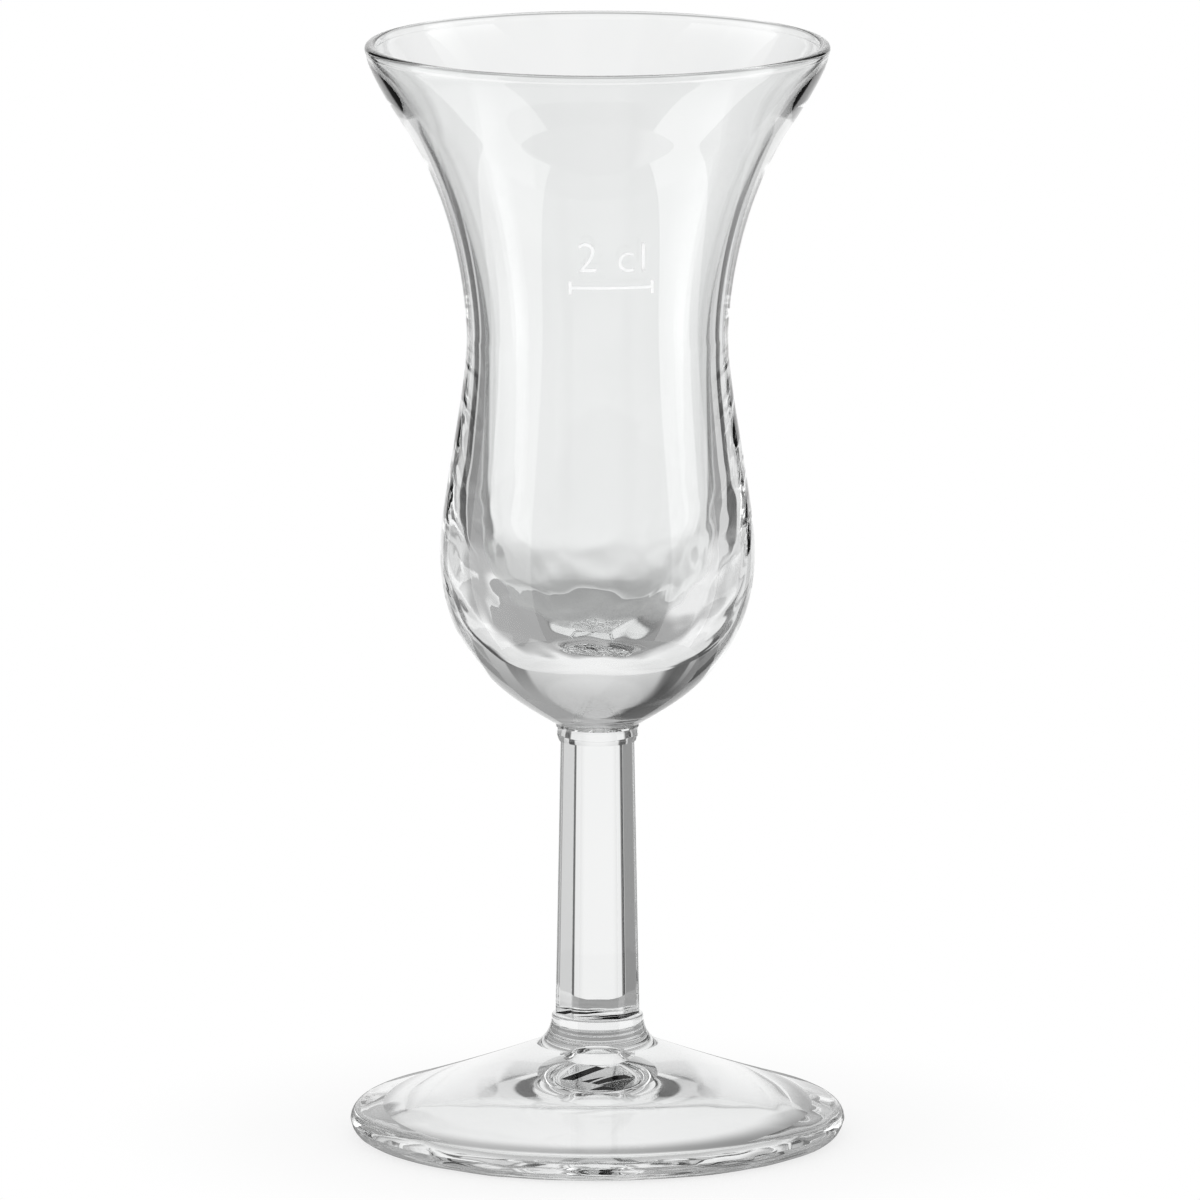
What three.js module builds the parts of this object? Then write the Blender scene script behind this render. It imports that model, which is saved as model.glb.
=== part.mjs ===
// Grappa glass: a tulip bowl on a short six-sided stem and a round foot, all in clear glass.
// Five gathers are fused end to end, from the table up:
// foot, stem collar, stem, neck ring and bowl.
// Millimetres, +Z up. The axis of the glass is the Z axis and the foot stands on z = 0.

import * as THREE from 'three';

// Foot: a shallow cone with a round edge, standing on a flat ring. Underneath, a dish follows the cone
// and ends in a small domed punt. The falls are shares of the dish's mean slope.
const FOOT_RADIUS = 27.6;
const FOOT_HEIGHT = 10.3;
const FOOT_EDGE_RADIUS = 1.7;
const FOOT_TOP_SAG = 0.35;
const STANDING_RING_WIDTH = 3.0;
const DISH_FALL_INNER = 0.54;
const DISH_FALL_OUTER = 1.72;
const PUNT_RADIUS = 3.4;
const PUNT_DEPTH = 2.9;
const PUNT_ROOF = 1.8;

// Stem collar: the flared ring that spreads the stem on to the foot. Its flat top just takes the stem.
const COLLAR_FOOT_RADIUS = 6.8;
const COLLAR_HEIGHT = 3.4;
const COLLAR_LEDGE = 0.12;
const COLLAR_EDGE_RADIUS = 0.26;
const COLLAR_FOOT_LEAN = THREE.MathUtils.degToRad(-55);

// Stem: six flat sides with well-rounded edges, thinner towards the bowl.
const STEM_LENGTH = 31.0;
const STEM_CORNER_RADIUS_BOTTOM = 5.03;
const STEM_CORNER_RADIUS_TOP = 4.41;
const STEM_EDGE_RADIUS = 2.0;
const STEM_SIDES = 6;
const STEM_TURN = THREE.MathUtils.degToRad(2);

// Neck ring: the low bead between the stem and the bowl. Its ledges stand out round the stem.
const NECK_RING_HEIGHT = 1.6;
const NECK_RING_LEDGE = 0.19;
const NECK_RING_SWELL = 0.2;

// Bowl, outside. Heights are measured from the bowl's own base, which stands out round the neck ring.
const BOWL_HEIGHT = 76.7;
const BOWL_SEAT_LEDGE = 0.3;
const BOWL_SEAT_EDGE = 0.3;
const BASE_LEAN = THREE.MathUtils.degToRad(58);
const BELLY_RADIUS = 17.5;
const BELLY_RISE = 19.6;
const WAIST_RADIUS = 14.5;
const WAIST_RISE = 43.7;
const FLARE_RADIUS = 21.7;
const FLARE_RISE = 68.0;
const FLARE_LEAN = THREE.MathUtils.degToRad(34);
const RIM_RADIUS = 25.7;
const LIP_LEAN = THREE.MathUtils.degToRad(8);

// Bowl, inside: the wall thickens from the lip down to a heavy base.
const LIP_WALL = 1.1;
const FLARE_WALL = 1.4;
const WAIST_WALL = 2.0;
const BELLY_WALL = 4.2;
const HOLLOW_BELLY_RISE = 24.0;
const FLOOR_THICKNESS = 10.7;
const FLOOR_FLAT_RADIUS = 3.8;

// How far each curve keeps the direction of its ends, as a share of the distance that it spans.
const PUNT_REACH_TOP = 0.6;
const PUNT_REACH_RIM = 0.2;
const DISH_REACH = 0.33;
const COLLAR_REACH = 0.38;
const BASE_REACH = 0.2;
const BELLY_REACH_BELOW = 0.54;
const BELLY_REACH_ABOVE = 0.24;
const WAIST_REACH_ABOVE = 0.06;
const FLARE_REACH_BELOW = 0.49;
const FLARE_REACH_ABOVE = 0.38;
const LIP_REACH = 0.18;
const HOLLOW_REACH = 0.3;
const FLOOR_REACH = 0.38;

// How finely the round shapes are faceted.
const AROUND = 56;
const CURVE_STEPS = 8;
const SHORT_CURVE_STEPS = 4;
const ARC_STEPS = 6;
const STEM_CORNER_STEPS = 4;
const STEM_STEPS = 8;

// Leans of a profile's direction, from straight up round to straight down.
const UP = 0;
const LEVEL = Math.PI / 2;
const DOWN = Math.PI;

// Reach of the stem's rounded edges from the axis, at its foot, and its size at the neck ring.
const stemHalfTurn = Math.PI / STEM_SIDES;
const stemReach = STEM_CORNER_RADIUS_BOTTOM - STEM_EDGE_RADIUS * (1 / Math.cos(stemHalfTurn) - 1);
const stemTaper = STEM_CORNER_RADIUS_TOP / STEM_CORNER_RADIUS_BOTTOM;

// Radii of the seats, each just wide enough for the piece that is fused to it.
const collarTopRadius = stemReach + COLLAR_LEDGE + COLLAR_EDGE_RADIUS;
const neckRingSeatRadius = stemReach * stemTaper + NECK_RING_LEDGE;
const bowlSeatRadius = neckRingSeatRadius + BOWL_SEAT_LEDGE;

const clearGlass = {
  color: 0xe6eaea,
  roughness: 0.04,
  metalness: 0,
  transparent: true,
  opacity: 0.35,
};

function at(radius, height) {
  return new THREE.Vector2(radius, height);
}

// Unit direction in the profile plane, leaning outwards from straight up.
function direction(lean) {
  return at(Math.sin(lean), Math.cos(lean));
}

// Smooth stretch of a profile. It leaves and arrives along the given leans, and each reach is the
// share of the straight distance over which that end keeps its direction.
function stretch(from, fromLean, fromReach, to, toLean, toReach, steps) {
  const span = from.distanceTo(to);
  const leave = from.clone().addScaledVector(direction(fromLean), fromReach * span);
  const arrive = to.clone().addScaledVector(direction(toLean), -toReach * span);
  return new THREE.CubicBezierCurve(from, leave, arrive, to).getPoints(steps);
}

// Round stretch of a profile about a centre, from one lean of its radius to another.
function roundEdge(centre, radius, fromLean, toLean, steps) {
  const points = [];
  for (let step = 0; step <= steps; step += 1) {
    const lean = THREE.MathUtils.lerp(fromLean, toLean, step / steps);
    points.push(centre.clone().addScaledVector(direction(lean), radius));
  }
  return points;
}

// Joins stretches into one profile, leaving out points that repeat where two stretches meet.
function joined(...stretches) {
  const profile = [];
  for (const point of stretches.flat()) {
    const last = profile.at(-1);
    if (!last || last.distanceTo(point) > 1e-6) {
      profile.push(point);
    }
  }
  return profile;
}

// Revolves a profile that starts and ends on the axis, and stands it along +Z.
function revolved(profile) {
  return new THREE.LatheGeometry(profile, AROUND).rotateX(Math.PI / 2);
}

function glassPiece(name, geometry, height) {
  const mesh = new THREE.Mesh(geometry, new THREE.MeshStandardMaterial(clearGlass));
  mesh.name = name;
  mesh.position.z = height;
  return mesh;
}

// Foot, read from the middle of its hollow outwards and back over the top.
function footGeometry() {
  const puntTop = at(0, FOOT_HEIGHT - PUNT_ROOF);
  const puntRim = at(PUNT_RADIUS, puntTop.y - PUNT_DEPTH);
  const ringOuter = at(FOOT_RADIUS - FOOT_EDGE_RADIUS, 0);
  const ringInner = at(ringOuter.x - STANDING_RING_WIDTH, 0);
  const edgeCentre = at(ringOuter.x, FOOT_EDGE_RADIUS);
  const seat = at(COLLAR_FOOT_RADIUS, FOOT_HEIGHT);
  const slope = Math.atan2(seat.y - 2 * FOOT_EDGE_RADIUS, ringOuter.x - seat.x);
  const edge = roundEdge(edgeCentre, FOOT_EDGE_RADIUS, DOWN, slope, ARC_STEPS);
  const edgeTop = edge.at(-1);
  const sag = edgeTop.clone().lerp(seat, 0.5);
  sag.y -= FOOT_TOP_SAG;
  const fall = Math.atan2(puntRim.y, ringInner.x - puntRim.x);
  const dishInner = LEVEL + fall * DISH_FALL_INNER;
  const dishOuter = LEVEL + fall * DISH_FALL_OUTER;
  return revolved(joined(
    stretch(puntTop, LEVEL, PUNT_REACH_TOP, puntRim, dishInner, PUNT_REACH_RIM, CURVE_STEPS),
    stretch(puntRim, dishInner, DISH_REACH, ringInner, dishOuter, DISH_REACH, CURVE_STEPS),
    edge,
    new THREE.QuadraticBezierCurve(edgeTop, sag, seat).getPoints(SHORT_CURVE_STEPS),
    [at(0, FOOT_HEIGHT)],
  ));
}

// Stem collar, hollow-sided from its wide foot to a softened top edge.
function collarGeometry() {
  const foot = at(COLLAR_FOOT_RADIUS, 0);
  const edgeCentre = at(collarTopRadius - COLLAR_EDGE_RADIUS, COLLAR_HEIGHT - COLLAR_EDGE_RADIUS);
  const edge = roundEdge(edgeCentre, COLLAR_EDGE_RADIUS, LEVEL, UP, SHORT_CURVE_STEPS);
  return revolved(joined(
    [at(0, 0)],
    stretch(foot, COLLAR_FOOT_LEAN, COLLAR_REACH, edge[0], UP, COLLAR_REACH, CURVE_STEPS),
    edge,
    [at(0, COLLAR_HEIGHT)],
  ));
}

// Outline of the stem at its foot: a polygon whose corners are rounded by tangent arcs.
function stemOutline() {
  const centreRadius = stemReach - STEM_EDGE_RADIUS;
  const outline = new THREE.Shape();
  for (let corner = 0; corner < STEM_SIDES; corner += 1) {
    const angle = STEM_TURN + corner * 2 * stemHalfTurn;
    const x = centreRadius * Math.cos(angle);
    const y = centreRadius * Math.sin(angle);
    outline.absarc(x, y, STEM_EDGE_RADIUS, angle - stemHalfTurn, angle + stemHalfTurn);
  }
  return outline.closePath();
}

// Stem, extruded along the axis and drawn in evenly towards the neck ring.
function stemGeometry() {
  const geometry = new THREE.ExtrudeGeometry(stemOutline(), {
    depth: STEM_LENGTH,
    steps: STEM_STEPS,
    curveSegments: STEM_CORNER_STEPS,
    bevelEnabled: false,
  });
  const points = geometry.getAttribute('position');
  for (let index = 0; index < points.count; index += 1) {
    const share = points.getZ(index) / STEM_LENGTH;
    const taper = THREE.MathUtils.lerp(1, stemTaper, share);
    points.setXY(index, points.getX(index) * taper, points.getY(index) * taper);
  }
  geometry.computeVertexNormals();
  return geometry;
}

// Neck ring, a bead that swells between its two seats.
function neckRingGeometry() {
  const low = at(neckRingSeatRadius, 0);
  const swell = at(neckRingSeatRadius + 2 * NECK_RING_SWELL, NECK_RING_HEIGHT / 2);
  const high = at(neckRingSeatRadius, NECK_RING_HEIGHT);
  return revolved(joined(
    [at(0, 0)],
    new THREE.QuadraticBezierCurve(low, swell, high).getPoints(CURVE_STEPS),
    [at(0, NECK_RING_HEIGHT)],
  ));
}

// Bowl, read up the outside, over the rounded lip and down the inside to the middle of the floor.
function bowlGeometry() {
  const seat = at(bowlSeatRadius, 0);
  const base = at(bowlSeatRadius, BOWL_SEAT_EDGE);
  const belly = at(BELLY_RADIUS, BELLY_RISE);
  const waist = at(WAIST_RADIUS, WAIST_RISE);
  const flare = at(FLARE_RADIUS, FLARE_RISE);
  const lipRadius = LIP_WALL / 2;
  const lipCentre = at(RIM_RADIUS - lipRadius, BOWL_HEIGHT - lipRadius);
  const lip = roundEdge(lipCentre, lipRadius, LEVEL + LIP_LEAN, LIP_LEAN - LEVEL, ARC_STEPS);
  const lipOuter = lip[0];
  const lipInner = lip.at(-1);

  const innerFlare = flare.clone().addScaledVector(direction(FLARE_LEAN - LEVEL), FLARE_WALL);
  const innerWaist = at(WAIST_RADIUS - WAIST_WALL, WAIST_RISE);
  const innerBelly = at(BELLY_RADIUS - BELLY_WALL, HOLLOW_BELLY_RISE);
  const floor = at(FLOOR_FLAT_RADIUS, FLOOR_THICKNESS);
  const lipDown = DOWN + LIP_LEAN;
  const flareDown = DOWN + FLARE_LEAN;

  return revolved(joined(
    [at(0, 0), seat],
    stretch(base, BASE_LEAN, BASE_REACH, belly, UP, BELLY_REACH_BELOW, CURVE_STEPS),
    stretch(belly, UP, BELLY_REACH_ABOVE, waist, UP, BELLY_REACH_ABOVE, CURVE_STEPS),
    stretch(waist, UP, WAIST_REACH_ABOVE, flare, FLARE_LEAN, FLARE_REACH_BELOW, CURVE_STEPS),
    stretch(flare, FLARE_LEAN, FLARE_REACH_ABOVE, lipOuter, LIP_LEAN, LIP_REACH, SHORT_CURVE_STEPS),
    lip,
    stretch(lipInner, lipDown, LIP_REACH, innerFlare, flareDown, FLARE_REACH_ABOVE, SHORT_CURVE_STEPS),
    stretch(innerFlare, flareDown, FLARE_REACH_BELOW, innerWaist, DOWN, WAIST_REACH_ABOVE, CURVE_STEPS),
    stretch(innerWaist, DOWN, HOLLOW_REACH, innerBelly, DOWN, HOLLOW_REACH, CURVE_STEPS),
    stretch(innerBelly, DOWN, FLOOR_REACH, floor, -LEVEL, FLOOR_REACH, CURVE_STEPS),
    [at(0, FLOOR_THICKNESS)],
  ));
}

// Seams between the fused pieces, each one on top of the piece below.
const collarSeam = FOOT_HEIGHT;
const stemSeam = collarSeam + COLLAR_HEIGHT;
const ringSeam = stemSeam + STEM_LENGTH;
const bowlSeam = ringSeam + NECK_RING_HEIGHT;

const glass = new THREE.Group();
glass.name = 'grappa_glass';
glass.add(
  glassPiece('foot', footGeometry(), 0),
  glassPiece('stem_collar', collarGeometry(), collarSeam),
  glassPiece('stem', stemGeometry(), stemSeam),
  glassPiece('neck_ring', neckRingGeometry(), ringSeam),
  glassPiece('bowl', bowlGeometry(), bowlSeam),
);

export default glass;
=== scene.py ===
"""Looks of a grappa glass: five fused pieces of clear glass and a printed fill mark, on a pale table.

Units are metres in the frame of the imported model: the axis of the glass is Z and it stands on z = 0.
Each piece is spun or extruded to the shape of its CAD node. Neighbours share their seam discs, which
are unseen, so that light runs through the fused glass without meeting a surface there.
"""

import logging
import math
from abc import ABC, abstractmethod
from collections.abc import Callable
from dataclasses import dataclass, field
from enum import Enum

import bpy
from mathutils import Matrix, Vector


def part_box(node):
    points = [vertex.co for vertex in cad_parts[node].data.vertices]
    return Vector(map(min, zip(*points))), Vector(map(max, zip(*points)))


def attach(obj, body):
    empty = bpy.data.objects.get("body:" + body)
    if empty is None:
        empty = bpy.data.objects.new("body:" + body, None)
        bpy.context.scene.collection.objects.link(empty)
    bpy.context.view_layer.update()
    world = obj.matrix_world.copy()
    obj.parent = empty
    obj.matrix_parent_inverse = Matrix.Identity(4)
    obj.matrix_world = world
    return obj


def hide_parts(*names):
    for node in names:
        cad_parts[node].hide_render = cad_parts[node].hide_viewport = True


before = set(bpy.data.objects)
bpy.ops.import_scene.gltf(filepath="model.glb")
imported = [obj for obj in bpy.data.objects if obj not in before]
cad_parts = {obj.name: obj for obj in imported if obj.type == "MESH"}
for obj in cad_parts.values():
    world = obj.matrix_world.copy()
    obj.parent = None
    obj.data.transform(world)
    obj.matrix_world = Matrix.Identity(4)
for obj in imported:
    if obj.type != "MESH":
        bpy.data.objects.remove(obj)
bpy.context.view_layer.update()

log = logging.getLogger("grappa_glass")

BODY = "root"
MM = 0.001
AROUND = 160
CURVE_SPACING = 0.6 * MM
CURVE_STEPS = 6
MERGE_DISTANCE = 0.002 * MM
SMOOTH_ANGLE = math.radians(20.0)
UP = 0.0
LEVEL = math.pi / 2
DOWN = math.pi


class Slot(Enum):
    """Names of two material slots, clear_glass and fill_mark. Nothing in the script reads them."""

    GLASS = "clear_glass"
    MARK = "fill_mark"


def direction(lean: float) -> Vector:
    """Returns the unit direction in the profile plane that leans outwards from straight up."""
    return Vector((math.sin(lean), 0.0, math.cos(lean)))


@dataclass
class Profile:
    """Outline of a spun piece in the plane y = 0, read from one point on the axis to another."""

    base: float
    points: list[Vector] = field(default_factory=list)

    def line_to(self, radius: float, height: float) -> None:
        """Adds a straight stretch.

        Args:
            radius: Distance of its end from the axis.
            height: Height of its end above the piece's base.
        """
        self._add(Vector((radius, 0.0, self.base + height)))

    def curve_to(self, radius: float, height: float, leave: tuple[float, float],
                 arrive: tuple[float, float]) -> None:
        """Adds a smooth stretch.

        Args:
            radius: Distance of its end from the axis.
            height: Height of its end above the piece's base.
            leave: Lean at its start, and the share of its span that keeps that lean.
            arrive: Lean at its end, and the share of its span that has that lean.
        """
        start = self.points[-1].copy()
        end = Vector((radius, 0.0, self.base + height))
        span = (end - start).length
        first = start + direction(leave[0]) * leave[1] * span
        second = end - direction(arrive[0]) * arrive[1] * span
        steps = max(CURVE_STEPS, round(span / CURVE_SPACING))
        for step in range(1, steps + 1):
            share = step / steps
            rest = 1.0 - share
            self._add(start * rest ** 3 + first * 3 * rest ** 2 * share
                      + second * 3 * rest * share ** 2 + end * share ** 3)

    def arc(self, radius: float, height: float, reach: float, first: float, last: float,
            steps: int = 12) -> None:
        """Adds a round edge, joined to what is there by a straight stretch.

        Args:
            radius: Distance of its centre from the axis.
            height: Height of its centre above the piece's base.
            reach: Its own radius.
            first: Lean of its radius at its start.
            last: Lean of its radius at its end.
            steps: How many straight steps it has.
        """
        centre = Vector((radius, 0.0, self.base + height))
        for step in range(steps + 1):
            self._add(centre + direction(first + (last - first) * step / steps) * reach)

    def _add(self, point: Vector) -> None:
        """Adds a point unless it repeats the last one."""
        if not self.points or (point - self.points[-1]).length > MERGE_DISTANCE:
            self.points.append(point)


def only(piece: bpy.types.Object | None = None, mode: str = "OBJECT") -> None:
    """Selects one piece alone, so that the next operators act on nothing else.

    Args:
        piece: The piece to select, or none.
        mode: Mode to work in.
    """
    if bpy.context.mode != "OBJECT":
        bpy.ops.object.mode_set(mode="OBJECT")
    bpy.ops.object.select_all(action="DESELECT")
    if piece is not None:
        piece.select_set(True)
        bpy.context.view_layer.objects.active = piece
    if mode != "OBJECT":
        bpy.ops.object.mode_set(mode=mode)


def named(name: str) -> bpy.types.Object:
    """Names the object that was just added and moves its place into its mesh.

    Args:
        name: Name of the object and of its mesh.

    Returns:
        The object.
    """
    piece = bpy.context.object
    piece.name = name
    piece.data.name = name
    bpy.ops.object.transform_apply(location=True, rotation=True, scale=True)
    return piece


def apply_modifier(piece: bpy.types.Object, kind: str, **settings: object) -> None:
    """Adds a modifier to a piece and applies it.

    Args:
        piece: The piece to finish.
        kind: Type of the modifier.
        settings: Its settings by name.
    """
    only(piece)
    modifier = piece.modifiers.new(kind.lower(), kind)
    for setting, value in settings.items():
        setattr(modifier, setting, value)
    bpy.ops.object.modifier_apply(modifier=modifier.name)


def spin(name: str, profile: Profile) -> bpy.types.Object:
    """Spins a profile about the axis of the glass.

    Args:
        name: Name of the piece.
        profile: Its outline.

    Returns:
        The piece, with its place in its mesh.
    """
    only()
    bpy.ops.mesh.primitive_plane_add(size=MM, location=profile.points[0])
    piece = named(name)
    bpy.ops.object.mode_set(mode="EDIT")
    bpy.ops.mesh.select_all(action="SELECT")
    bpy.ops.mesh.merge(type="CENTER")
    for here, there in zip(profile.points, profile.points[1:]):
        bpy.ops.mesh.extrude_vertices_move(TRANSFORM_OT_translate={"value": there - here})
    bpy.ops.mesh.select_all(action="SELECT")
    bpy.ops.mesh.spin(steps=AROUND, angle=math.tau, center=(0.0, 0.0, 0.0), axis=(0.0, 0.0, 1.0))
    bpy.ops.mesh.select_all(action="SELECT")
    bpy.ops.mesh.remove_doubles(threshold=MERGE_DISTANCE)
    bpy.ops.mesh.normals_make_consistent(inside=False)
    bpy.ops.object.mode_set(mode="OBJECT")
    return piece


def ripple(piece: bpy.types.Object, length: float, height: float,
           share: Callable[[bpy.types.MeshVertex], float]) -> None:
    """Gives a glass piece the slight waves of glass shaped hot. They only take glass away.

    Args:
        piece: The spun piece.
        length: Size of a wave along the surface.
        height: Greatest depth of a wave.
        share: Tells how wavy a point is, from 0 or less to 1 or more.
    """
    waves = bpy.data.textures.new(piece.name + "_waves", "CLOUDS")
    waves.noise_scale = length
    waves.noise_depth = 1
    group = piece.vertex_groups.new(name="wavy")
    for vertex in piece.data.vertices:
        weight = min(1.0, share(vertex))
        if weight > 0.0:
            group.add([vertex.index], weight, "REPLACE")
    apply_modifier(piece, "DISPLACE", texture=waves, texture_coords="LOCAL", strength=-height,
                   mid_level=0.0, vertex_group=group.name)
    piece.vertex_groups.clear()


def hand_in(piece: bpy.types.Object, node: str = "") -> None:
    """Fixes a piece to the glass and reports it.

    Args:
        piece: The finished piece.
        node: CAD node that it stands for, if any.
    """
    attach(piece, BODY)
    if node:
        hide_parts(node)
    log.info("%s: %d faces", piece.name, len(piece.data.polygons))


class Graph:
    """Node tree of a material or world, with short ways to add and join nodes."""

    def __init__(self, tree: bpy.types.NodeTree) -> None:
        """Takes hold of a tree."""
        self.tree = tree

    def add(self, kind: str, inputs: dict | None = None, **settings: object) -> bpy.types.Node:
        """Adds a node.

        Args:
            kind: Type of the node.
            inputs: Values, or sockets of other nodes, for its inputs by name or number.
            settings: Its other settings by name.

        Returns:
            The node.
        """
        node = self.tree.nodes.new(kind)
        for setting, value in settings.items():
            setattr(node, setting, value)
        for socket, value in (inputs or {}).items():
            if isinstance(value, bpy.types.NodeSocket):
                self.link(value, node.inputs[socket])
            else:
                node.inputs[socket].default_value = value
        return node

    def math(self, operation: str, *values: object) -> bpy.types.NodeSocket:
        """Adds a Math node.

        Args:
            operation: What it works out.
            values: Numbers or sockets that it works on.

        Returns:
            Its result.
        """
        return self.add("ShaderNodeMath", dict(enumerate(values)), operation=operation).outputs[0]

    def blend(self, share: object, first: object, second: object) -> bpy.types.NodeSocket:
        """Adds a mix of two values.

        Args:
            share: How much of the second there is.
            first: Number or socket.
            second: Number or socket.

        Returns:
            The mixed value.
        """
        return self.add("ShaderNodeMix", {0: share, 2: first, 3: second}, data_type="FLOAT").outputs[0]

    def colour(self, share: object, first: tuple[float, float, float],
               second: tuple[float, float, float]) -> bpy.types.NodeSocket:
        """Adds a mix of two colours.

        Args:
            share: How much of the second there is.
            first: Red, green and blue.
            second: Red, green and blue.

        Returns:
            The mixed colour.
        """
        inputs = {0: share, 6: (*first, 1.0), 7: (*second, 1.0)}
        return self.add("ShaderNodeMix", inputs, data_type="RGBA").outputs[2]

    def step(self, value: bpy.types.NodeSocket, low: float, high: float) -> bpy.types.NodeSocket:
        """Adds a soft step.

        Args:
            value: What it reads.
            low: Value at which it leaves 0.
            high: Value at which it reaches 1.

        Returns:
            A value from 0 to 1.
        """
        inputs = {"Value": value, "From Min": low, "From Max": high}
        return self.add("ShaderNodeMapRange", inputs, interpolation_type="SMOOTHSTEP").outputs[0]

    def link(self, value: bpy.types.NodeSocket, socket: bpy.types.NodeSocket) -> None:
        """Joins a result to an input."""
        self.tree.links.new(value, socket)


def new_finish(name: str) -> tuple[bpy.types.Material, Graph, bpy.types.Node]:
    """Makes a material.

    Args:
        name: Its name.

    Returns:
        The material, its nodes and its Principled shader.
    """
    material = bpy.data.materials.new(name)
    material.use_nodes = True
    return material, Graph(material.node_tree), material.node_tree.nodes["Principled BSDF"]


class Mottle:
    """Shader node group that mottles a finish: a soft noise between two values, drawn out up the object."""

    DETAIL: float = 3.0
    SPREAD: tuple[float, float] = (0.3, 0.7)

    def __init__(self) -> None:
        """Makes the group."""
        self.tree = bpy.data.node_groups.new("mottle", "ShaderNodeTree")
        for name in ("Scale", "Stretch", "Low", "High"):
            self.tree.interface.new_socket(name, in_out="INPUT", socket_type="NodeSocketFloat")
        self.tree.interface.new_socket("Value", in_out="OUTPUT", socket_type="NodeSocketFloat")
        graph = Graph(self.tree)
        given = graph.add("NodeGroupInput").outputs
        place = graph.add("ShaderNodeTexCoord").outputs["Object"]
        stretch = graph.add("ShaderNodeCombineXYZ", {"X": 1.0, "Y": 1.0, "Z": given["Stretch"]}).outputs[0]
        drawn = graph.add("ShaderNodeVectorMath", {0: place, 1: stretch}, operation="MULTIPLY").outputs[0]
        noise = graph.add("ShaderNodeTexNoise", {
            "Vector": drawn, "Scale": given["Scale"], "Detail": self.DETAIL})
        value = graph.add("ShaderNodeMapRange", {
            "Value": noise.outputs[0], "From Min": self.SPREAD[0], "From Max": self.SPREAD[1],
            "To Min": given["Low"], "To Max": given["High"]}).outputs[0]
        graph.add("NodeGroupOutput", {"Value": value})

    def use(self, graph: Graph, scale: float, stretch: float = 1.0, low: float = 0.0,
            high: float = 1.0) -> bpy.types.NodeSocket:
        """Adds the group to a material.

        Args:
            graph: Nodes of the material.
            scale: How many blotches there are to a metre.
            stretch: How much the blotches are squeezed along Z. Below 1 they are drawn out.
            low: Least value.
            high: Greatest value.

        Returns:
            The mottled value.
        """
        inputs = {"Scale": scale, "Stretch": stretch, "Low": low, "High": high}
        return graph.add("ShaderNodeGroup", inputs, node_tree=self.tree).outputs["Value"]


@dataclass(frozen=True)
class ClearGlass:
    """Clear soda-lime glass with faint streaks of density."""

    name: str = "clear_glass"
    ior: float = 1.52
    clear: tuple[float, float, float] = (0.965, 0.97, 0.969)
    dense: tuple[float, float, float] = (0.945, 0.953, 0.951)
    streak_scale: float = 120.0
    streak_stretch: float = 0.35

    def make(self, mottle: Mottle) -> bpy.types.Material:
        """Makes the material.

        Args:
            mottle: Group that streaks it.

        Returns:
            The material.
        """
        material, graph, shader = new_finish(self.name)
        streak = mottle.use(graph, self.streak_scale, self.streak_stretch)
        graph.link(graph.colour(streak, self.clear, self.dense), shader.inputs["Base Color"])
        shader.inputs["Roughness"].default_value = 0.0
        shader.inputs["IOR"].default_value = self.ior
        shader.inputs["Transmission Weight"].default_value = 1.0
        return material


@dataclass(frozen=True)
class FusedSeam:
    """Fused joint inside the glass, where there is no surface to see."""

    name: str = "fused_seam"

    def make(self) -> bpy.types.Material:
        """Makes the material.

        Returns:
            The material.
        """
        material, _, shader = new_finish(self.name)
        shader.inputs["Alpha"].default_value = 0.0
        return material


@dataclass(frozen=True)
class WhiteEnamel:
    """Thin white enamel, fired on and slightly uneven."""

    name: str = "white_enamel"
    thick: tuple[float, float, float] = (1.0, 1.0, 1.0)
    thin: tuple[float, float, float] = (0.93, 0.945, 0.945)
    colour_scale: float = 900.0
    roughness: tuple[float, float] = (0.45, 0.65)
    roughness_scale: float = 600.0

    def make(self, mottle: Mottle) -> bpy.types.Material:
        """Makes the material.

        Args:
            mottle: Group that makes it uneven.

        Returns:
            The material.
        """
        material, graph, shader = new_finish(self.name)
        colour = graph.colour(mottle.use(graph, self.colour_scale), self.thick, self.thin)
        graph.link(colour, shader.inputs["Base Color"])
        roughness = mottle.use(graph, self.roughness_scale, 1.0, *self.roughness)
        graph.link(roughness, shader.inputs["Roughness"])
        return material


class GlassPiece(ABC):
    """Piece of the glass, fused to its neighbours."""

    @abstractmethod
    def is_seam(self, centre: Vector) -> bool:
        """Tells from a face's centre whether the face is fused to a neighbour."""

    def dress(self, piece: bpy.types.Object, glass: bpy.types.Material, seam: bpy.types.Material) -> None:
        """Gives the piece its finish, and the unseen seam to the faces that are fused to a neighbour.

        Args:
            piece: The piece as it was built.
            glass: Finish of its open surface.
            seam: Finish of its fused faces.
        """
        piece.data.materials.clear()
        piece.data.materials.append(glass)
        piece.data.materials.append(seam)
        for face in piece.data.polygons:
            face.material_index = int(self.is_seam(face.center))
        only(piece)
        bpy.ops.object.shade_smooth_by_angle(angle=SMOOTH_ANGLE)


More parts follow.
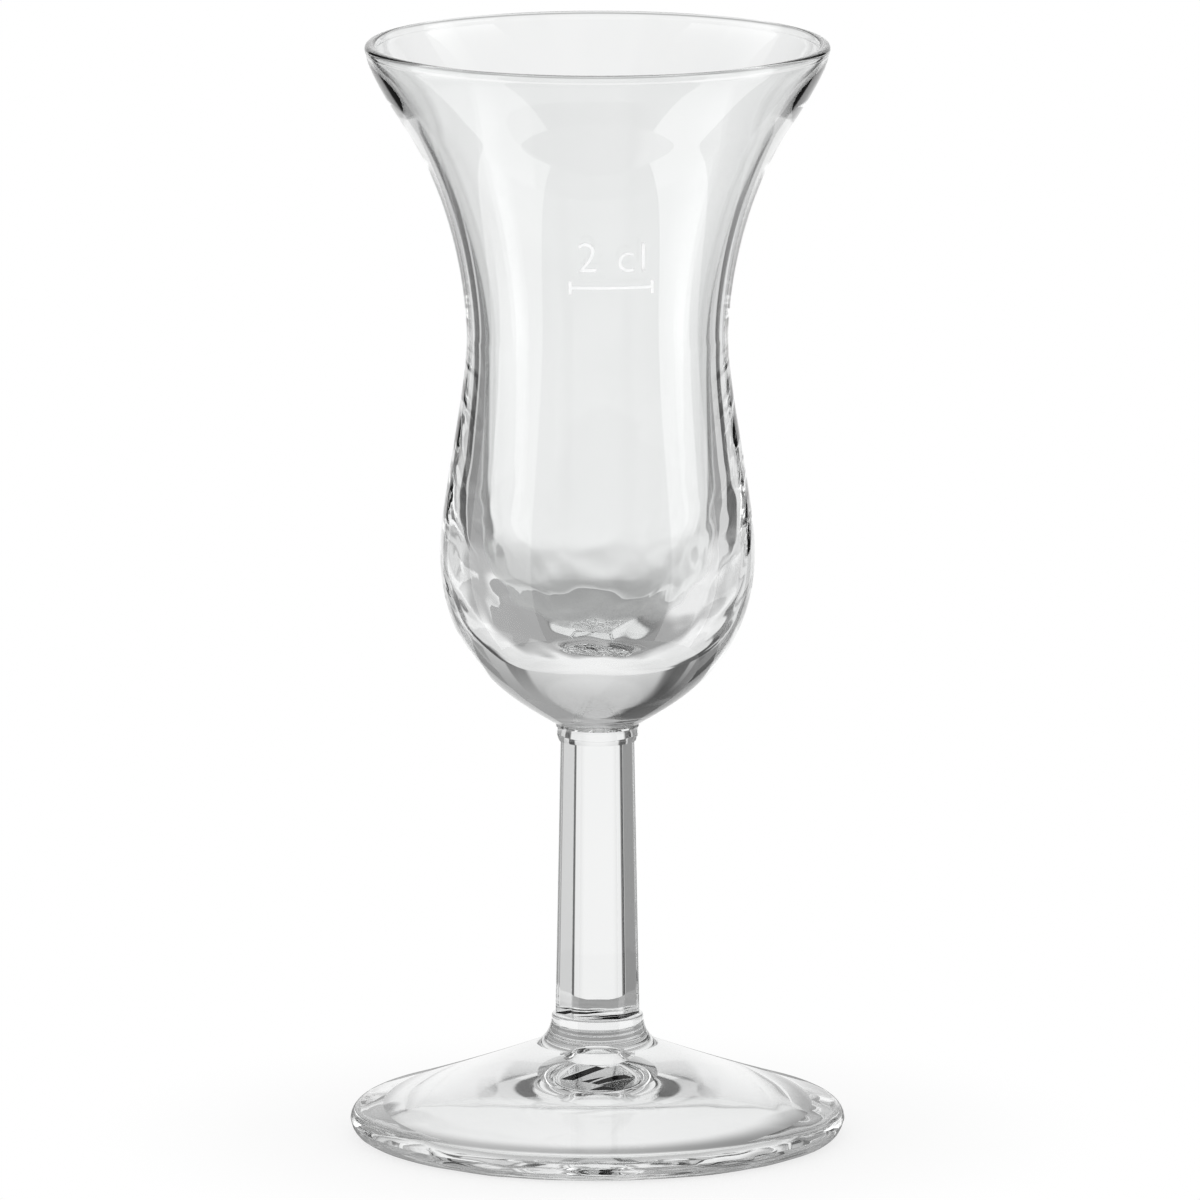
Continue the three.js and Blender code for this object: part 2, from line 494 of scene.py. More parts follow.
@dataclass
class Foot(GlassPiece):
    """Round foot: a shallow cone with a round edge on a flat standing ring, hollowed underneath."""

    radius: float = 27.6 * MM
    height: float = 10.3 * MM
    edge_radius: float = 1.7 * MM
    top_sag: float = 0.35 * MM
    ring_width: float = 3.0 * MM
    dish_depth: float = 5.6 * MM
    dish_lean_inner: float = math.radians(8.6)
    dish_lean_outer: float = math.radians(27.5)
    punt_radius: float = 3.4 * MM
    punt_depth: float = 8.5 * MM
    punt_reach: tuple[float, float] = (0.6, 0.2)
    curve_reach: float = 0.33
    seat_radius: float = 6.8 * MM
    wave_length: float = 7.0 * MM
    wave_height: float = 0.18 * MM
    wave_radius: tuple[float, float] = (16.0 * MM, 21.0 * MM)

    def wave_share(self, vertex: bpy.types.MeshVertex) -> float:
        """Tells how wavy a point is: fully under the rim, less towards the middle, not at all above it."""
        none, full = self.wave_radius
        return float(vertex.normal.z < 0.0) * (vertex.co.xy.length - none) / (full - none)

    def build(self) -> bpy.types.Object:
        """Spins the foot and gives it its waves.

        Returns:
            The foot.
        """
        ring_outer = self.radius - self.edge_radius
        ring_inner = ring_outer - self.ring_width
        slope = math.atan2(self.height - 2 * self.edge_radius, ring_outer - self.seat_radius)
        profile = Profile(base=0.0)
        profile.line_to(0.0, self.punt_depth)
        profile.curve_to(self.punt_radius, self.dish_depth, (LEVEL, self.punt_reach[0]),
                         (LEVEL + self.dish_lean_inner, self.punt_reach[1]))
        profile.curve_to(ring_inner, 0.0, (LEVEL + self.dish_lean_inner, self.curve_reach),
                         (LEVEL + self.dish_lean_outer, self.curve_reach))
        profile.arc(ring_outer, self.edge_radius, self.edge_radius, DOWN, slope)
        run = Vector((self.seat_radius, 0.0, self.height)) - profile.points[-1]
        lean = math.atan2(run.x, run.z)
        sag = math.atan2(2 * self.top_sag, run.length)
        profile.curve_to(self.seat_radius, self.height, (lean - sag, self.curve_reach),
                         (lean + sag, self.curve_reach))
        profile.line_to(0.0, self.height)
        foot = spin("foot_glass", profile)
        ripple(foot, self.wave_length, self.wave_height, self.wave_share)
        return foot

    def is_seam(self, centre: Vector) -> bool:
        """Tells whether a face is the disc that the collar is fused to."""
        return centre.z > self.height - MERGE_DISTANCE


@dataclass
class Stem(GlassPiece):
    """Six-sided stem with well-rounded edges, thinner towards the bowl."""

    base: float
    length: float = 31.0 * MM
    corner_radius_bottom: float = 5.03 * MM
    corner_radius_top: float = 4.41 * MM
    edge_radius: float = 2.0 * MM
    sides: int = 6
    turn: float = math.radians(2.0)
    edge_segments: int = 14

    @property
    def taper(self) -> float:
        """Size of the stem at its top as a share of its size at its foot."""
        return self.corner_radius_top / self.corner_radius_bottom

    @property
    def reach(self) -> float:
        """Distance of the rounded edges from the axis at the stem's foot."""
        return self.corner_radius_bottom - self.edge_radius * (1.0 / math.cos(math.pi / self.sides) - 1.0)

    def build(self) -> bpy.types.Object:
        """Makes the stem from its outline on the collar.

        Returns:
            The stem.
        """
        only()
        bpy.ops.mesh.primitive_circle_add(
            vertices=self.sides, radius=self.corner_radius_bottom, fill_type="NGON",
            location=(0.0, 0.0, self.base), rotation=(0.0, 0.0, self.turn + math.pi / 2))
        stem = named("stem_glass")
        bpy.ops.object.mode_set(mode="EDIT")
        bpy.ops.mesh.select_all(action="SELECT")
        self._round_corners(1.0)
        bpy.ops.mesh.extrude_region_move(TRANSFORM_OT_translate={"value": (0.0, 0.0, self.length)})
        bpy.ops.transform.resize(value=(self.taper, self.taper, 1.0), center_override=(0.0, 0.0, 0.0))
        bpy.ops.mesh.select_all(action="SELECT")
        bpy.ops.mesh.normals_make_consistent(inside=False)
        bpy.ops.object.mode_set(mode="OBJECT")
        return stem

    def seat(self, piece: bpy.types.Object, height: float, scale: float) -> None:
        """Closes the flat open end of a round piece: a ledge round the stem, and the face fused to it.

        Args:
            piece: The round piece.
            height: Where its open end lies.
            scale: Size of the stem there, as a share of its size at its foot.
        """
        only(piece, "EDIT")
        bpy.ops.mesh.select_all(action="DESELECT")
        bpy.ops.mesh.primitive_circle_add(
            vertices=self.sides, radius=self.corner_radius_bottom * scale, fill_type="NOTHING",
            location=(0.0, 0.0, height), rotation=(0.0, 0.0, self.turn + math.pi / 2))
        self._round_corners(scale)
        bpy.ops.mesh.select_all(action="DESELECT")
        bpy.ops.mesh.select_non_manifold(use_multi_face=False, use_non_contiguous=False, use_verts=False)
        bpy.ops.mesh.bridge_edge_loops()
        bpy.ops.mesh.select_all(action="DESELECT")
        bpy.ops.mesh.select_non_manifold(use_multi_face=False, use_non_contiguous=False, use_verts=False)
        bpy.ops.mesh.edge_face_add()
        bpy.ops.mesh.select_all(action="SELECT")
        bpy.ops.mesh.normals_make_consistent(inside=False)
        bpy.ops.object.mode_set(mode="OBJECT")

    def dress(self, piece: bpy.types.Object, glass: bpy.types.Material, seam: bpy.types.Material) -> None:
        """Dresses the stem and keeps its sides flat to the eye, so that only its edges bend the light."""
        super().dress(piece, glass, seam)
        apply_modifier(piece, "WEIGHTED_NORMAL", mode="FACE_AREA", weight=100, keep_sharp=True)

    def is_seam(self, centre: Vector) -> bool:
        """Tells whether a face is fused to the collar or to the neck ring."""
        return abs(centre.z - self.base - self.length / 2) > self.length / 2 - MERGE_DISTANCE

    def _round_corners(self, scale: float) -> None:
        """Rounds the corners of the outline that is selected in edit mode.

        Args:
            scale: Size of the outline, as a share of its size at the stem's foot.
        """
        tangent = self.edge_radius * scale * math.tan(math.pi / self.sides)
        bpy.ops.mesh.bevel(offset=tangent, offset_type="OFFSET", segments=self.edge_segments,
                           profile=0.5, affect="VERTICES")


@dataclass
class StemCollar(GlassPiece):
    """Flared collar that spreads the stem on to the foot."""

    base: float
    foot_radius: float
    height: float = 3.4 * MM
    ledge: float = 0.12 * MM
    edge_radius: float = 0.26 * MM
    edge_steps: int = 6
    foot_lean: float = math.radians(-55.0)
    flare_reach: float = 0.38

    def build(self, stem: Stem) -> bpy.types.Object:
        """Spins the collar and fits its top round the stem.

        Args:
            stem: The stem that stands on the collar.

        Returns:
            The collar.
        """
        shoulder = stem.reach + self.ledge
        edge_height = self.height - self.edge_radius
        profile = Profile(self.base)
        profile.line_to(0.0, 0.0)
        profile.line_to(self.foot_radius, 0.0)
        profile.curve_to(shoulder + self.edge_radius, edge_height, (self.foot_lean, self.flare_reach),
                         (UP, self.flare_reach))
        profile.arc(shoulder, edge_height, self.edge_radius, LEVEL, UP, self.edge_steps)
        collar = spin("stem_collar_glass", profile)
        stem.seat(collar, self.base + self.height, 1.0)
        return collar

    def is_seam(self, centre: Vector) -> bool:
        """Tells whether a face is fused to the foot or to the stem.

        Args:
            centre: Centre of the face.

        Returns:
            Whether it is fused.
        """
        low = centre.z < self.base + MERGE_DISTANCE
        high = centre.z > self.base + self.height - MERGE_DISTANCE
        return low or (high and centre.xy.length < MM)


@dataclass
class NeckRing(GlassPiece):
    """Low bead between the stem and the bowl."""

    base: float
    height: float = 1.6 * MM
    ledge: float = 0.19 * MM
    swell: float = 0.2 * MM

    def seat_radius(self, stem: Stem) -> float:
        """Returns the radius of the two flat ends of the bead."""
        return stem.reach * stem.taper + self.ledge

    def build(self, stem: Stem) -> bpy.types.Object:
        """Spins the bead and fits its underside round the stem.

        Args:
            stem: The stem that carries the bead.

        Returns:
            The bead.
        """
        seat = self.seat_radius(stem)
        lean = math.atan2(2 * self.swell, self.height / 2)
        reach = 2.0 / 3.0 * math.hypot(2 * self.swell, self.height / 2) / self.height
        profile = Profile(self.base)
        profile.line_to(seat, 0.0)
        profile.curve_to(seat, self.height, (lean, reach), (-lean, reach))
        profile.line_to(0.0, self.height)
        ring = spin("neck_ring_glass", profile)
        stem.seat(ring, self.base, stem.taper)
        return ring

    def is_seam(self, centre: Vector) -> bool:
        """Tells whether a face is fused to the stem or to the bowl.

        Args:
            centre: Centre of the face.

        Returns:
            Whether it is fused.
        """
        low = centre.z < self.base + MERGE_DISTANCE
        high = centre.z > self.base + self.height - MERGE_DISTANCE
        return high or (low and centre.xy.length < MM)


@dataclass
class Bowl(GlassPiece):
    """Tulip bowl: a heavy base, a wide belly, a drawn-in waist, a flared mouth and a rounded lip.

    Belly, waist, flare and floor are a radius and a height above the base. A reach is the share of a
    stretch that keeps the lean at its end, below that place and above it where there are two.
    """

    base: float
    seat_radius: float
    height: float = 76.7 * MM
    seat_ledge: float = 0.3 * MM
    seat_edge: float = 0.3 * MM
    base_lean: float = math.radians(58.0)
    base_reach: float = 0.2
    belly: tuple[float, float] = (17.5 * MM, 19.6 * MM)
    belly_reach: tuple[float, float] = (0.54, 0.24)
    waist: tuple[float, float] = (14.5 * MM, 43.7 * MM)
    waist_reach: tuple[float, float] = (0.24, 0.06)
    flare: tuple[float, float] = (21.7 * MM, 68.0 * MM)
    flare_lean: float = math.radians(34.0)
    flare_reach: tuple[float, float] = (0.49, 0.38)
    rim_radius: float = 25.7 * MM
    lip_lean: float = math.radians(8.0)
    lip_reach: float = 0.18
    lip_wall: float = 1.1 * MM
    lip_swell: float = 0.07 * MM
    lip_neck: float = math.radians(26.0)
    lip_drop: float = 0.75
    lip_steps: int = 24
    flare_wall: float = 1.4 * MM
    waist_wall: float = 2.0 * MM
    hollow_belly: tuple[float, float] = (13.3 * MM, 24.0 * MM)
    hollow_reach: float = 0.3
    floor: tuple[float, float] = (3.8 * MM, 10.7 * MM)
    floor_reach: float = 0.38
    floor_normal: float = 0.9
    wave_length: float = 4.0 * MM
    wave_height: float = 0.4 * MM
    wave_rise: tuple[float, float] = (16.0 * MM, 30.0 * MM)

    def build(self) -> bpy.types.Object:
        """Spins the bowl and gives it its waves.

        Returns:
            The bowl.
        """
        profile = Profile(self.base)
        profile.line_to(0.0, 0.0)
        profile.line_to(self.seat_radius, 0.0)
        profile.line_to(self.seat_radius + self.seat_ledge, 0.0)
        profile.line_to(self.seat_radius + self.seat_ledge, self.seat_edge)
        self._add_outside(profile)
        self._add_inside(profile)
        bowl = spin("bowl_glass", profile)
        ripple(bowl, self.wave_length, self.wave_height, self.wave_share)
        return bowl

    def is_seam(self, centre: Vector) -> bool:
        """Tells whether a face is the disc that the neck ring is fused to."""
        return centre.z < self.base + MERGE_DISTANCE and centre.xy.length < self.seat_radius

    def wave_share(self, vertex: bpy.types.MeshVertex) -> float:
        """Tells how wavy a point is: fully over the floor, less up the inner wall, not at all outside.

        Args:
            vertex: The point.

        Returns:
            Its share of the waves.
        """
        inwards = vertex.normal.xy.dot(vertex.co.xy) < 0.0 or vertex.normal.z > self.floor_normal
        full, none = self.wave_rise
        return float(inwards) * (none - vertex.co.z + self.base) / (none - full)

    def _lip(self) -> tuple[Vector, float, Vector, Vector]:
        """Works out the fire-polished bead along the lip.

        Returns:
            Its centre, its radius, and the points below it where the outer and the inner wall end.
        """
        bead = self.lip_wall / 2 + self.lip_swell
        centre = Vector((self.rim_radius - self.lip_wall / 2, 0.0, self.height - bead))
        below = centre - direction(self.lip_lean) * bead * self.lip_drop
        across = direction(LEVEL + self.lip_lean) * self.lip_wall / 2
        return centre, bead, below + across, below - across

    def _add_outside(self, profile: Profile) -> None:
        """Adds the outer wall, from the base up to the lip and over it.

        Args:
            profile: The bowl's outline.
        """
        profile.curve_to(*self.belly, (self.base_lean, self.base_reach), (UP, self.belly_reach[0]))
        profile.curve_to(*self.waist, (UP, self.belly_reach[1]), (UP, self.waist_reach[0]))
        profile.curve_to(*self.flare, (UP, self.waist_reach[1]), (self.flare_lean, self.flare_reach[0]))
        centre, bead, outer, _ = self._lip()
        profile.curve_to(outer.x, outer.z, (self.flare_lean, self.flare_reach[1]),
                         (self.lip_lean, self.lip_reach))
        first = LEVEL + self.lip_lean
        profile.arc(centre.x, centre.z, bead, first + self.lip_neck, first - math.pi - self.lip_neck,
                    self.lip_steps)

    def _add_inside(self, profile: Profile) -> None:
        """Adds the hollow, from the lip down to the middle of the floor.

        Args:
            profile: The bowl's outline.
        """
        inward = direction(self.flare_lean - LEVEL) * self.flare_wall
        inner_flare = (self.flare[0] + inward.x, self.flare[1] + inward.z)
        inner_waist = (self.waist[0] - self.waist_wall, self.waist[1])
        flare_down = DOWN + self.flare_lean
        inner = self._lip()[3]
        profile.line_to(inner.x, inner.z)
        profile.curve_to(*inner_flare, (DOWN + self.lip_lean, self.lip_reach),
                         (flare_down, self.flare_reach[1]))
        profile.curve_to(*inner_waist, (flare_down, self.flare_reach[0]), (DOWN, self.waist_reach[1]))
        profile.curve_to(*self.hollow_belly, (DOWN, self.hollow_reach), (DOWN, self.hollow_reach))
        profile.curve_to(*self.floor, (DOWN, self.floor_reach), (-LEVEL, self.floor_reach))
        profile.line_to(0.0, self.floor[1])


@dataclass
class FillMark:
    """Capacity line with its figure, fired on to the front of the bowl as a thin white film."""

    height: float = 98.0 * MM
    ends: tuple[float, float] = (-3.15 * MM, 6.15 * MM)
    tick: float = 1.5 * MM
    stroke: float = 0.32 * MM
    line_cuts: int = 12
    figure: str = "2 cl"
    figure_size: float = 5.0 * MM
    figure_left: float = -2.35 * MM
    figure_rise: float = 1.8 * MM
    figure_offset: float = -0.008
    figure_spacing: float = 1.1
    figure_cuts: int = 3
    ahead: float = -40.0 * MM
    film: float = 0.04 * MM
    standoff: float = 0.01 * MM

    def build(self, bowl: bpy.types.Object, enamel: bpy.types.Material) -> list[bpy.types.Object]:
        """Draws the mark in front of the bowl and lays it on the wall.

        Args:
            bowl: The bowl.
            enamel: Finish of the mark.

        Returns:
            The line and the figure.
        """
        marks = [self._line(), self._figure()]
        for mark in marks:
            self._lay_on(mark, bowl)
            mark.data.materials.clear()
            mark.data.materials.append(enamel)
        return marks

    def _line(self) -> bpy.types.Object:
        """Draws the flat line with a tick at each end.

        Returns:
            The line.
        """
        left, right = self.ends
        only()
        bpy.ops.mesh.primitive_plane_add(size=1.0, location=((left + right) / 2, self.ahead, self.height),
                                         rotation=(math.pi / 2, 0.0, 0.0))
        bpy.context.object.scale = (right - left, self.tick, 1.0)
        line = named("fill_line")
        bpy.ops.object.mode_set(mode="EDIT")
        bpy.ops.mesh.select_mode(type="FACE")
        cuts = [((0.0, 0.0, self.height + side * self.stroke / 2), (0.0, 0.0, 1.0)) for side in (-1, 1)]
        cuts += [((end, 0.0, 0.0), (1.0, 0.0, 0.0)) for end in (left + self.stroke, right - self.stroke)]
        for place, normal in cuts:
            bpy.ops.mesh.select_all(action="SELECT")
            bpy.ops.mesh.bisect(plane_co=place, plane_no=normal)
        bpy.ops.mesh.select_all(action="DESELECT")
        bpy.ops.object.mode_set(mode="OBJECT")
        for face in line.data.polygons:
            off_line = abs(face.center.z - self.height) > self.stroke / 2
            face.select = off_line and left + self.stroke < face.center.x < right - self.stroke
        bpy.ops.object.mode_set(mode="EDIT")
        bpy.ops.mesh.delete(type="FACE")
        bpy.ops.mesh.select_all(action="SELECT")
        bpy.ops.mesh.subdivide(number_cuts=self.line_cuts)
        bpy.ops.mesh.select_mode(type="VERT")
        bpy.ops.object.mode_set(mode="OBJECT")
        return line

    def _figure(self) -> bpy.types.Object:
        """Writes the flat figure.

        Returns:
            The figure.
        """
        only()
        bpy.ops.object.text_add(location=(self.figure_left, self.ahead, self.height + self.figure_rise),
                                rotation=(math.pi / 2, 0.0, 0.0))
        text = bpy.context.object
        text.data.body = self.figure
        text.data.offset = self.figure_offset
        text.data.space_character = self.figure_spacing
        text.scale = (self.figure_size,) * 3
        bpy.ops.object.convert(target="MESH")
        figure = named("fill_figure")
        bpy.ops.object.mode_set(mode="EDIT")
        bpy.ops.mesh.select_all(action="SELECT")
        bpy.ops.mesh.subdivide(number_cuts=self.figure_cuts)
        bpy.ops.object.mode_set(mode="OBJECT")
        return figure

    def _lay_on(self, mark: bpy.types.Object, bowl: bpy.types.Object) -> None:
        """Presses a flat mark straight back on to the bowl's wall and gives it a thickness.

        Args:
            mark: The line or the figure.
            bowl: The bowl.
        """
        apply_modifier(mark, "SHRINKWRAP", target=bowl, wrap_method="PROJECT", wrap_mode="ABOVE_SURFACE",
                       use_project_y=True, offset=self.standoff)
        apply_modifier(mark, "SOLIDIFY", thickness=self.film, offset=1.0)


@dataclass
class Camera:
    """Long lens that looks slightly down on the glass from the front, by its pitch in radians."""

    place: Vector = Vector((0.28 * MM, -1.7433, 0.3739))
    pitch: float = 0.1779
    lens: float = 478.0
    sensor: float = 36.0

    def set_up(self) -> None:
        """Adds the camera and makes it the scene's."""
        data = bpy.data.cameras.new("camera")
        data.lens = self.lens
        data.sensor_width = self.sensor
        camera = bpy.data.objects.new("camera", data)
        camera.location = self.place
        camera.rotation_euler = (math.pi / 2 - self.pitch, 0.0, 0.0)
        bpy.context.scene.collection.objects.link(camera)
        bpy.context.scene.camera = camera


@dataclass
class Table:
    """Pale round table top. Through the glass it shows greyer painted light and shade: a painted lit patch
    under the foot, a painted shadow round the near side of the foot, and painted grey beyond that turns
    paler far to the right.
    """

    radius: float = 70.0 * MM
    thickness: float = 20.0 * MM
    sides: int = 128
    paint_thick: tuple[float, float, float] = (0.91, 0.91, 0.91)
    paint_thin: tuple[float, float, float] = (0.89, 0.89, 0.888)
    paint_scale: float = 60.0
    roughness: tuple[float, float] = (0.55, 0.65)
    roughness_scale: float = 250.0
    shading: float = 0.25
    shading_radius: tuple[float, float] = (20.0 * MM, 60.0 * MM)
    # Painted light: the pale grey that the glass shows of the table under the foot, round a centre set back
    # and to the left.
    painted_light_under_foot: float = 0.95
    painted_light_under_foot_centre: tuple[float, float] = (-1.5 * MM, 3.5 * MM)
    painted_light_under_foot_radius: tuple[float, float] = (21.0 * MM, 26.5 * MM)
    # Painted shadow: the dark grey that the glass shows of the table round the foot, widest on its near
    # side.
    painted_foot_shadow: float = 0.25
    painted_foot_shadow_radius: tuple[float, float] = (28.0 * MM, 33.0 * MM)
    # Painted shade: the greys that the glass shows of the table beyond the foot, darker on the left and
    # paler far to the right.
    left: float = 0.36
    right: float = 0.85
    painted_side_shade_edge: tuple[float, float] = (30.0 * MM, 45.0 * MM)

    def set_up(self, mottle: Mottle) -> None:
        """Adds the table.

        Args:
            mottle: Group that makes its paint uneven.
        """
        only()
        bpy.ops.mesh.primitive_circle_add(vertices=self.sides, radius=self.radius, fill_type="NGON",
                                          location=(0.0, 0.0, -self.thickness))
        table = named("table")
        bpy.ops.object.mode_set(mode="EDIT")
        bpy.ops.mesh.select_all(action="SELECT")
        bpy.ops.mesh.extrude_region_move(TRANSFORM_OT_translate={"value": (0.0, 0.0, self.thickness)})
        bpy.ops.mesh.select_all(action="SELECT")
        bpy.ops.mesh.normals_make_consistent(inside=False)
        bpy.ops.object.mode_set(mode="OBJECT")
        table.data.materials.append(self._top(mottle))

    def _top(self, mottle: Mottle) -> bpy.types.Material:
        """Makes the white paint, which keeps some shading near the glass and is plain white farther out.
        Rays through the glass and glossy rays see painted light and shade on it instead.

        Args:
            mottle: Group that makes it uneven.

        Returns:
            The material.
        """
        material, graph, shader = new_finish("table_top_painted_shade")
        paint = graph.colour(mottle.use(graph, self.paint_scale), self.paint_thick, self.paint_thin)
        graph.link(paint, shader.inputs["Base Color"])
        roughness = mottle.use(graph, self.roughness_scale, 1.0, *self.roughness)
        graph.link(roughness, shader.inputs["Roughness"])
        place = graph.add("ShaderNodeTexCoord").outputs["Object"]
        reach = graph.add("ShaderNodeVectorMath", {0: place}, operation="LENGTH").outputs["Value"]
        path = graph.add("ShaderNodeLightPath").outputs
        # Rays through the glass and glossy rays see the table as painted light and shade, not as its white
        # paint.
        through = graph.math("MAXIMUM", path["Is Transmission Ray"], path["Is Glossy Ray"])
        seen = graph.blend(through, 1.0, self._painted_shade(graph, place, reach))
        white = graph.add("ShaderNodeEmission", {"Color": seen, "Strength": 1.0})
        plain = graph.math("MULTIPLY_ADD", graph.step(reach, *self.shading_radius),
                           self.shading, 1.0 - self.shading)
        share = graph.math("MAXIMUM", graph.math("MULTIPLY", plain, path["Is Camera Ray"]), through)
        mixed = graph.add("ShaderNodeMixShader",
                          {"Fac": share, 1: shader.outputs["BSDF"], 2: white.outputs["Emission"]})
        graph.link(mixed.outputs["Shader"], material.node_tree.nodes["Material Output"].inputs["Surface"])
        return material

    def _painted_shade(self, graph: Graph, place: bpy.types.NodeSocket,
              reach: bpy.types.NodeSocket) -> bpy.types.NodeSocket:
        """Adds the painted light and shade that the glass shows on the table.

        Args:
            graph: Nodes of the paint.
            place: Place on the table.
            reach: Distance of that place from the axis of the glass.

        Returns:
            The painted grey at that place.
        """
        centre = (*self.painted_light_under_foot_centre, 0.0)
        across = graph.add("ShaderNodeSeparateXYZ", {"Vector": place}).outputs["X"]
        painted_light_distance = graph.add("ShaderNodeVectorMath", {0: place, 1: centre}, operation="DISTANCE")
        # Painted shade beyond the foot: darker on the left, paler far to the right.
        painted_side_shade = graph.blend(graph.step(across, *self.painted_side_shade_edge), self.left, self.right)
        # Painted shadow in a ring round the foot.
        with_painted_shadow = graph.blend(graph.step(reach, *self.painted_foot_shadow_radius), self.painted_foot_shadow, painted_side_shade)
        # Painted light under the foot, round a centre set back and to the left.
        edge = graph.step(painted_light_distance.outputs["Value"], *self.painted_light_under_foot_radius)
        return graph.blend(edge, self.painted_light_under_foot, with_painted_shadow)


@dataclass(frozen=True)
class Panel:
    """Upright card or softbox round the glass, by the bearings that it fills and the width of its edge.

    Bearings are in degrees from straight behind the glass, to the right.
    """

    first: float
    last: float
    level: float
    edge: float = 1.5


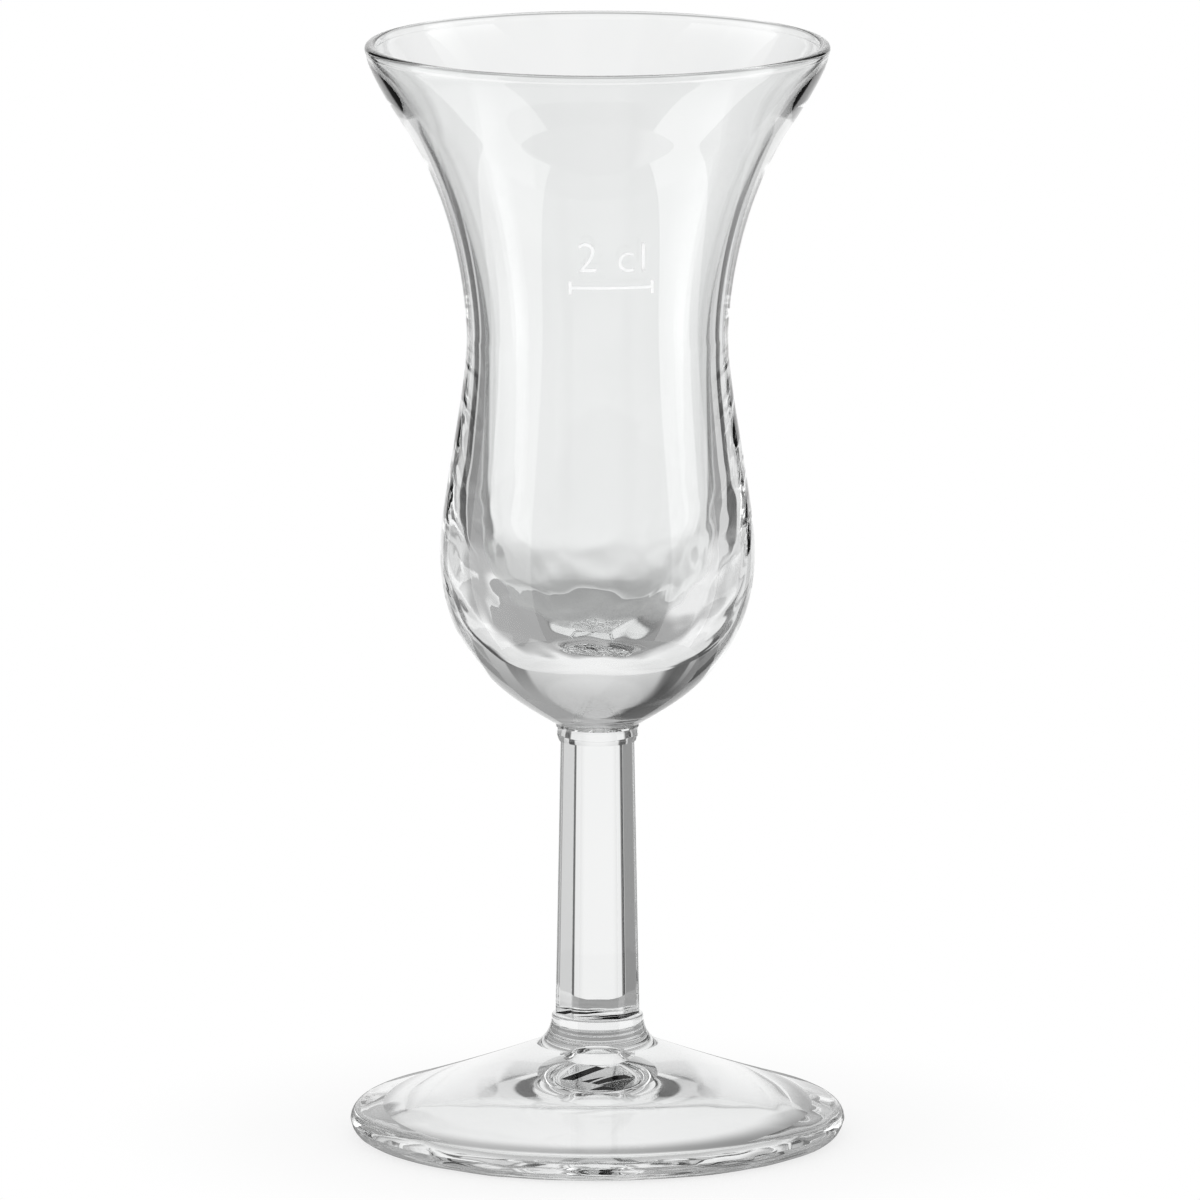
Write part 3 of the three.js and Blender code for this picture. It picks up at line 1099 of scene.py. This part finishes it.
@dataclass
class Studio:
    """White backdrop between dark flags, grey cards and softboxes, with a grey ceiling and a pale floor.

    A ray that comes through the glass sees the half in front of it as a repeat of the half behind it,
    under a pale scrim. Ceiling and floor are told by the rise of the ray, from -1 to 1.
    """

    bounces: int = 30
    room: float = 0.12
    scrim: float = 0.8
    scrim_share: float = 0.65
    scrim_edge: tuple[float, float] = (0.0, -0.2)
    ceiling: float = 0.5
    ceiling_left: float = 0.04
    ceiling_right: float = 0.36
    ceiling_sides: tuple[float, float] = (20.0, 30.0)
    ceiling_front: float = 0.25
    ceiling_front_edge: tuple[float, float] = (-0.3, 0.1)
    ceiling_rise: tuple[float, float] = (0.1, 0.8)
    floor: float = 0.45
    floor_right: float = 0.85
    floor_turn: tuple[float, float] = (12.0, 25.0)
    floor_fall: tuple[float, float] = (-0.34, -0.6)
    nadir: float = 0.9
    nadir_fall: tuple[float, float] = (-0.6, -0.7)
    even_light: float = 1.0
    panels: tuple[Panel, ...] = (
        Panel(-30.0, 28.0, 0.82),
        Panel(-13.0, 13.0, 0.97, 16.0),
        Panel(-36.0, -24.0, 0.05, 4.0),
        Panel(26.0, 36.0, 0.04, 3.0),
        Panel(-40.0, -36.0, 0.65),
        Panel(36.0, 48.0, 0.7),
        Panel(-72.0, -40.0, 0.28),
        Panel(48.0, 80.0, 0.34),
        Panel(-130.0, -72.0, 1.5),
        Panel(80.0, 124.0, 1.8),
    )

    def set_up(self) -> None:
        """Adds the light, with bounces enough for thick glass."""
        bpy.context.scene.view_settings.view_transform = "Standard"
        for kind in ("max_bounces", "transmission_bounces", "glossy_bounces", "transparent_max_bounces"):
            setattr(bpy.context.scene.cycles, kind, self.bounces)
        self._add_world()

    def _add_world(self) -> None:
        """Adds the studio that the glass shows, with white for the camera and even light for the rest."""
        world = bpy.data.worlds.new("studio")
        world.use_nodes = True
        bpy.context.scene.world = world
        graph = Graph(world.node_tree)
        background = world.node_tree.nodes["Background"]
        path = graph.add("ShaderNodeLightPath").outputs
        through = path["Is Transmission Ray"]
        ray = graph.add("ShaderNodeTexCoord").outputs["Generated"]
        axes = graph.add("ShaderNodeSeparateXYZ", {"Vector": ray}).outputs
        away = graph.blend(through, axes["Y"], graph.math("ABSOLUTE", axes["Y"]))
        bearing = graph.math("ARCTAN2", axes["X"], away)
        level = self._walls(graph, bearing)
        front = graph.math("MULTIPLY", graph.step(axes["Y"], *self.scrim_edge), through)
        level = graph.blend(graph.math("MULTIPLY", front, self.scrim_share), level, self.scrim)
        ceiling = self._ceiling(graph, bearing, away)
        level = graph.blend(graph.step(axes["Z"], *self.ceiling_rise), level, ceiling)
        floor = graph.blend(self._turn(graph, bearing, *self.floor_turn), self.floor, self.floor_right)
        for grey, fall in ((floor, self.floor_fall), (self.nadir, self.nadir_fall)):
            below = graph.math("MULTIPLY", graph.step(axes["Z"], *fall), through)
            level = graph.blend(below, level, grey)
        level = graph.blend(path["Is Diffuse Ray"], level, self.even_light)
        level = graph.blend(path["Is Camera Ray"], level, 1.0)
        graph.link(level, background.inputs["Color"])
        background.inputs["Strength"].default_value = 1.0

    def _walls(self, graph: Graph, bearing: bpy.types.NodeSocket) -> bpy.types.NodeSocket:
        """Adds the panels round the glass.

        Args:
            graph: The world's nodes.
            bearing: Bearing of the ray.

        Returns:
            The level at that bearing.
        """
        level: float | bpy.types.NodeSocket = self.room
        for panel in self.panels:
            half = panel.edge / 2
            begins, stops = (self._turn(graph, bearing, end - half, end + half)
                             for end in (panel.first, panel.last))
            level = graph.blend(graph.math("SUBTRACT", begins, stops), level, panel.level)
        return level

    def _ceiling(self, graph: Graph, bearing: bpy.types.NodeSocket,
                 away: bpy.types.NodeSocket) -> bpy.types.NodeSocket:
        """Adds the ceiling, darker to the sides and in front of the glass.

        Args:
            graph: The world's nodes.
            bearing: Bearing of the ray.
            away: How far the ray runs to the back, from -1 to 1.

        Returns:
            The level of the ceiling in that direction.
        """
        first, last = self.ceiling_sides
        level = graph.blend(self._turn(graph, bearing, -first, -last), self.ceiling, self.ceiling_left)
        level = graph.blend(self._turn(graph, bearing, first, last), level, self.ceiling_right)
        return graph.blend(graph.step(away, *self.ceiling_front_edge), self.ceiling_front, level)

    @staticmethod
    def _turn(graph: Graph, bearing: bpy.types.NodeSocket, first: float,
              last: float) -> bpy.types.NodeSocket:
        """Adds a soft step from one bearing, in degrees, to another."""
        return graph.step(bearing, math.radians(first), math.radians(last))


def main() -> None:
    """Builds the glass from the foot up, then the table, the studio and the camera."""
    logging.basicConfig(level=logging.INFO, format="%(name)s %(message)s")
    mottle = Mottle()
    glass = ClearGlass().make(mottle)
    seam = FusedSeam().make()
    foot = Foot(height=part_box("foot")[1].z)
    collar = StemCollar(base=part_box("stem_collar")[0].z, foot_radius=foot.seat_radius)
    stem = Stem(base=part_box("stem")[0].z)
    ring = NeckRing(base=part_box("neck_ring")[0].z)
    bowl = Bowl(base=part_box("bowl")[0].z, seat_radius=ring.seat_radius(stem))
    pieces = {
        "foot": (foot, foot.build()),
        "stem_collar": (collar, collar.build(stem)),
        "stem": (stem, stem.build()),
        "neck_ring": (ring, ring.build(stem)),
        "bowl": (bowl, bowl.build()),
    }
    for node, (shape, piece) in pieces.items():
        shape.dress(piece, glass, seam)
        hand_in(piece, node)
    for mark in FillMark().build(pieces["bowl"][1], WhiteEnamel().make(mottle)):
        hand_in(mark)
    Table().set_up(mottle)
    Studio().set_up()
    Camera().set_up()


if __name__ == "__main__":
    main()
